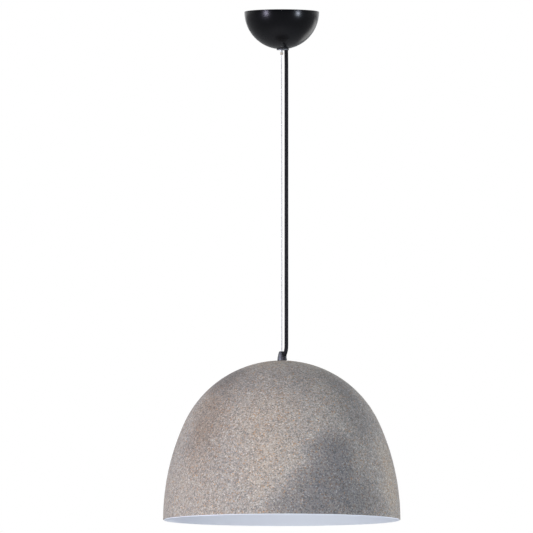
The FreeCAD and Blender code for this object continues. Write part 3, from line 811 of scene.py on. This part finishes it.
shell = piece("shell_spun", *shell_mesh(), enamel_white, sharp=60.0)
stand_in(shell, "shade", "white_enamel", "shade_shell")

# ---- lampholder ----
cap_low, cap_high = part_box("lampholder_cap")
body_low, body_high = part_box("lampholder_body")
socket_low, socket_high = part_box("screw_shell")


def fluted(outline, segments, flutes, depth, z0, z1):
    """Turned solid whose outer face is fluted between two levels."""
    widest = max(r for r, z in outline)
    rings = []
    for r, z in outline:
        ring = []
        for k in range(segments):
            turn = 2 * math.pi * k / segments
            cut = 0.0
            if r > widest - 0.4 * MM and z0 < z < z1:
                edge = min(1.0, min(z - z0, z1 - z) / (0.8 * MM))
                cut = depth * edge * (0.5 - 0.5 * math.cos(flutes * turn)) ** 0.5
            ring.append(Vector(((r - cut) * math.cos(turn), (r - cut) * math.sin(turn), z)))
        rings.append(ring)
    return skin(rings, closed_v=True)


def cap_outline():
    """Cap with a neck on the nipple, a domed shoulder and a straight side, 2 mm thick."""
    top, low = cap_high.z, cap_low.z
    outer = cap_high.x
    inner = outer - 2 * MM
    neck, shoulder_neck, roof_neck = 9 * MM, 9.6 * MM, 8.5 * MM
    shoulder_z = top - 18 * MM
    side_end = low + 0.4 * MM

    def shoulder(from_r, to_r, rise, turn):
        return from_r + (to_r - from_r) * math.sin(turn), shoulder_z + rise * math.cos(turn)

    points = [(5 * MM, top), (8.6 * MM, top), (neck, top - 0.4 * MM), (neck, top - 5.6 * MM)]
    for k in range(13):
        points.append(shoulder(shoulder_neck, outer, 12 * MM, math.pi / 2 * k / 12))
    for k in range(1, 17):
        points.append((outer, shoulder_z + (side_end - shoulder_z) * k / 16))
    points += [(outer - 0.4 * MM, low), (inner + 0.3 * MM, low), (inner, low + 0.3 * MM)]
    for k in range(13):
        points.append(shoulder(roof_neck, inner, 10 * MM, math.pi / 2 * (1 - k / 12)))
    points.append((5 * MM, top - 8 * MM))
    return points[::-1]


cap_mesh = fluted(cap_outline(), segments=240, flutes=40, depth=0.5 * MM,
                  z0=cap_low.z + 1 * MM, z1=cap_low.z + 9 * MM)
holder_cap = piece("holder_cap", *cap_mesh, moulding, sharp=30.0)
stand_in(holder_cap, "shade", "black_moulding", "lampholder_cap")


def skirt_outline():
    """Skirt with a spigot above and five rounded ribs that take a shade ring."""
    seam = cap_low.z - 0.2 * MM
    top, low = body_high.z, body_low.z
    side, spigot, bore, mouth = 19.8 * MM, 18.4 * MM, 16.8 * MM, 14.5 * MM
    points = [(bore, top), (spigot, top), (spigot, seam), (side - 0.3 * MM, seam),
              (side, seam - 0.3 * MM)]
    for rib in range(5):
        high = seam - (7.6 + 3 * rib) * MM
        for k in range(9):
            bump = math.sin(math.pi * k / 8)
            points.append((side + 0.6 * MM * bump, high - 1.4 * MM * k / 8))
    points += [
        (side, low + 0.5 * MM), (side - 0.5 * MM, low), (mouth + 0.3 * MM, low),
        (mouth, low + 0.3 * MM), (mouth, low + 2.2 * MM), (mouth + 0.3 * MM, low + 2.5 * MM),
        (bore, low + 2.5 * MM),
    ]
    return points[::-1]


skirt = piece("holder_skirt", *lathe(skirt_outline(), 160), moulding, sharp=30.0)
stand_in(skirt, "shade", "black_moulding", "lampholder_body")


def socket_mesh():
    """Thin brass shell rolled into a knuckle thread, with its inward flange above."""
    segments, steps = 120, 84
    pitch, depth = 3.62 * MM, 0.85 * MM
    root, sheet, hole = 13.3 * MM, 0.4 * MM, 5.0 * MM
    z0, z1 = socket_low.z, socket_high.z - 0.9 * MM

    def wall(extra):
        rings = []
        for i in range(steps + 1):
            z = z0 + (z1 - z0) * i / steps
            fade = min(1.0, (z - z0) / (1.2 * MM)) * min(1.0, (z1 - z) / (2 * MM))
            ring = []
            for k in range(segments):
                turn = 2 * math.pi * k / segments
                wave = 0.5 - 0.5 * math.cos(2 * math.pi * (z / pitch - k / segments))
                r = root + depth * wave * fade + extra
                ring.append(Vector((r * math.cos(turn), r * math.sin(turn), z)))
            rings.append(ring)
        return rings

    top = socket_high.z
    flange = [
        (root + sheet - 0.1 * MM, top - 0.3 * MM), (root - 0.2 * MM, top),
        (hole + 0.2 * MM, top), (hole, top - 0.25 * MM),
        (hole + 0.2 * MM, top - 0.5 * MM), (root - 0.4 * MM, top - 0.5 * MM),
    ]
    rings = wall(sheet) + [ring_at(r, z, segments) for r, z in flange] + wall(0.0)[::-1]
    return skin(rings, closed_v=True)


socket = piece("socket_thread", *socket_mesh(), brass, sharp=50.0)
stand_in(socket, "shade", "brass", "screw_shell")

spring_low, spring_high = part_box("contact_spring")
coil_top, coil_foot = spring_high.z - 0.4 * MM, spring_low.z + 0.4 * MM
coil = helix(2.3 * MM, coil_top, coil_foot, turns=5, wire=0.38 * MM)
spring = piece("spring_coil", *coil, turned_steel)
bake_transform(spring)
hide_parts("contact_spring")

# ---- wire leads: insulated cores, with bare stranded ends in the canopy ----
LEADS = {
    "lead_live_upper": ("ceiling", brown_core, "brown_core", [
        mm(7.95, 1.3, -20), mm(7.95, 1.3, -16.9), mm(5.6, 7.4, -16.7), mm(-3, 8.3, -19.6),
        mm(-16, 8, -20.5)]),
    "lead_neutral_upper": ("ceiling", blue_core, "blue_core", [
        mm(7.95, -1.3, -20), mm(7.95, -1.3, -16.9), mm(5.6, -7.4, -16.7), mm(-3, -8.3, -19.6),
        mm(-16, -8, -20.5)]),
    "lead_earth_upper": ("ceiling", earth_green, "earth_core", [
        mm(5.7, 0, -20), mm(5.7, 0, -18.7), mm(2.6, 4.4, -19.2), mm(-4, 3.6, -20.3),
        mm(-10, 0.1, -20.4), mm(-16, 0, -20.5)]),
    "lead_earth_lower": ("shade", earth_green, "earth_core", [
        mm(-0.6, 5.5, -582.5), mm(0, 12, -585.5), mm(0, 14, -582), mm(0, 14, -566.4),
        mm(0, 9.2, -566.4)]),
}
CORE_RADIUS = 1.05 * MM
CORE_SIDES = 20
CORE_STEP = 0.5 * MM
BARE = 8  # steps of bare wire at a core's end
for node, (body, material, slot_name, route) in LEADS.items():
    line = curve_points(route, CORE_STEP)
    if body == "ceiling":
        insulation = skin(tube_rings(line[:-BARE], CORE_RADIUS, CORE_SIDES), caps=True)
        tip = strands(line[-BARE - 2:], count=6, ring_radius=0.5 * MM,
                      strand_radius=0.25 * MM, lay_length=12 * MM, sides=7)
        stand_in(piece(node + "_tip", *tip, copper), body, "brass")
    else:
        insulation = skin(tube_rings(line, CORE_RADIUS, CORE_SIDES), caps=True)
    stand_in(piece(node + "_core", *insulation, material, CAPPED), body, slot_name, node)

# ---- CAD nodes that keep their shape: finishes, and the width in mm of their softened edges ----
DRESS = {
    "ceiling_bracket": (zinc, 0.18),
    "bracket_nuts": (zinc, 0.15),
    "cord_clamp": (moulding, 0.25),
    "cord_clamp_screws": (zinc, 0.12),
    "terminal_block": (nylon, 0.25),
    "terminal_screws": (turned_steel, 0.08),
    "terminal_block_screw": (zinc, 0.12),
    "earth_screw": (zinc, 0.12),
    "canopy_gasket": (rubber, 0.1),
    "outlet_plate": (satin_nickel, 0.15),
    "cable_grommet": (rubber, 0.12),
    "rope_end_stop": (crimp, 0.1),
    "collar": (satin_nickel, 0.0),
    "cable_gland": (moulding, 0.0),
    "grub_screw": (moulding, 0.0),
    "threaded_nipple": (turned_steel, 0.1),
    "inner_washer": (zinc, 0.12),
    "earth_tag": (zinc, 0.08),
    "lock_nut": (zinc, 0.2),
    "lampholder_insert": (ceramic, 0.15),
    "holder_terminals": (brass, 0.1),
    "holder_screws": (turned_steel, 0.08),
    "shell_rivets": (brass, 0.0),
    "centre_contact": (brass, 0.0),
    "lead_live_lower": (brown_core, 0.0),
    "lead_neutral_lower": (blue_core, 0.0),
}
WELD_REACH = 0.002 * MM
BEVEL_ANGLE = math.radians(40)
for node, (material, edge) in DRESS.items():
    made = nodes[node]
    made.data.materials.clear()
    made.data.materials.append(material)
    if edge:
        weld = made.modifiers.new("weld", "WELD")
        weld.merge_threshold = WELD_REACH
        bevel = made.modifiers.new("bevel", "BEVEL")
        bevel.width = edge * MM
        bevel.segments = 2
        bevel.limit_method = "ANGLE"
        bevel.angle_limit = BEVEL_ANGLE
        bevel.harden_normals = True

# ---- floor, world and lights ----
FLOOR = 120.0
FLOOR_Z = -3.3
corners = [(-FLOOR, -FLOOR), (FLOOR, -FLOOR), (FLOOR, FLOOR), (-FLOOR, FLOOR)]
floor_mesh = bpy.data.meshes.new("floor")
floor_mesh.from_pydata([(*corner, FLOOR_Z) for corner in corners], [], [(0, 1, 2, 3)])
floor_mesh.materials.append(finish_of(
    "floor_card", (0.74, 0.745, 0.76), (0.79, 0.795, 0.81), 0.7, spread=0.05,
    colour_scale=0.5, grain=40, depth=0.2 * MM))
floor = bpy.data.objects.new("floor", floor_mesh)
scene.collection.objects.link(floor)

SKY_FRONT, SKY_BACK = 0.05, 1.36  # the studio is dim in front of the light and white behind it
world = bpy.data.worlds.new("studio")
scene.world = world
world.use_nodes = True
sky = world.node_tree
sky.nodes.clear()
output = sky.nodes.new("ShaderNodeOutputWorld")
seen = add(sky, "LightPath").outputs["Is Camera Ray"]
plain = add(sky, "Background", {"Color": (1, 1, 1, 1), "Strength": 1.0})
toward = add(sky, "SeparateXYZ", {0: add(sky, "TexCoord").outputs["Generated"]})
level = ranged(sky, toward.outputs["Y"], -0.45, 0.80, SKY_FRONT, SKY_BACK)
soft = add(sky, "Background", {"Color": (0.97, 0.98, 1.0, 1), "Strength": level})
choice = add(sky, "MixShader", {0: seen, 1: soft.outputs[0], 2: plain.outputs[0]})
sky.links.new(choice.outputs[0], output.inputs[0])
scene.view_settings.view_transform = "Standard"


def softbox(name, location, target, width, height, watts, colour, mirrored=True):
    """Area light aimed at a target; unless mirrored, it doesn't show in glossy faces."""
    data = bpy.data.lights.new(name, "AREA")
    data.shape = "RECTANGLE"
    data.size, data.size_y = width, height
    data.energy = watts
    data.color = colour
    lamp = bpy.data.objects.new(name, data)
    lamp.location = location
    away = Vector(location) - Vector(target)
    lamp.rotation_euler = away.to_track_quat("Z", "Y").to_euler()
    lamp.visible_camera = False
    lamp.visible_glossy = mirrored
    scene.collection.objects.link(lamp)


# name, place, target, width, height, watts, colour
softbox("key_left", (-2.40, -2.30, 0.60), (0, 0, -0.3), 1.15, 1.25, 35, (1.0, 0.965, 0.90),
        mirrored=False)
softbox("front_low", (-0.8, -3.0, -2.3), (0, 0, -0.7), 2.6, 1.2, 50, (1.0, 0.975, 0.905),
        mirrored=False)
softbox("glint_left", (-2.50, -2.12, -0.36), (0, 0, -0.2), 0.60, 0.60, 56, (0.80, 0.77, 1.0))
softbox("glint_right", (2.60, -2.05, -0.38), (0, 0, -0.2), 0.55, 0.55, 55, (0.78, 0.85, 1.0))
softbox("edge_right", (1.75, 2.35, -1.15), (0, 0, -0.4), 1.3, 1.8, 12, (1.0, 0.995, 0.975))
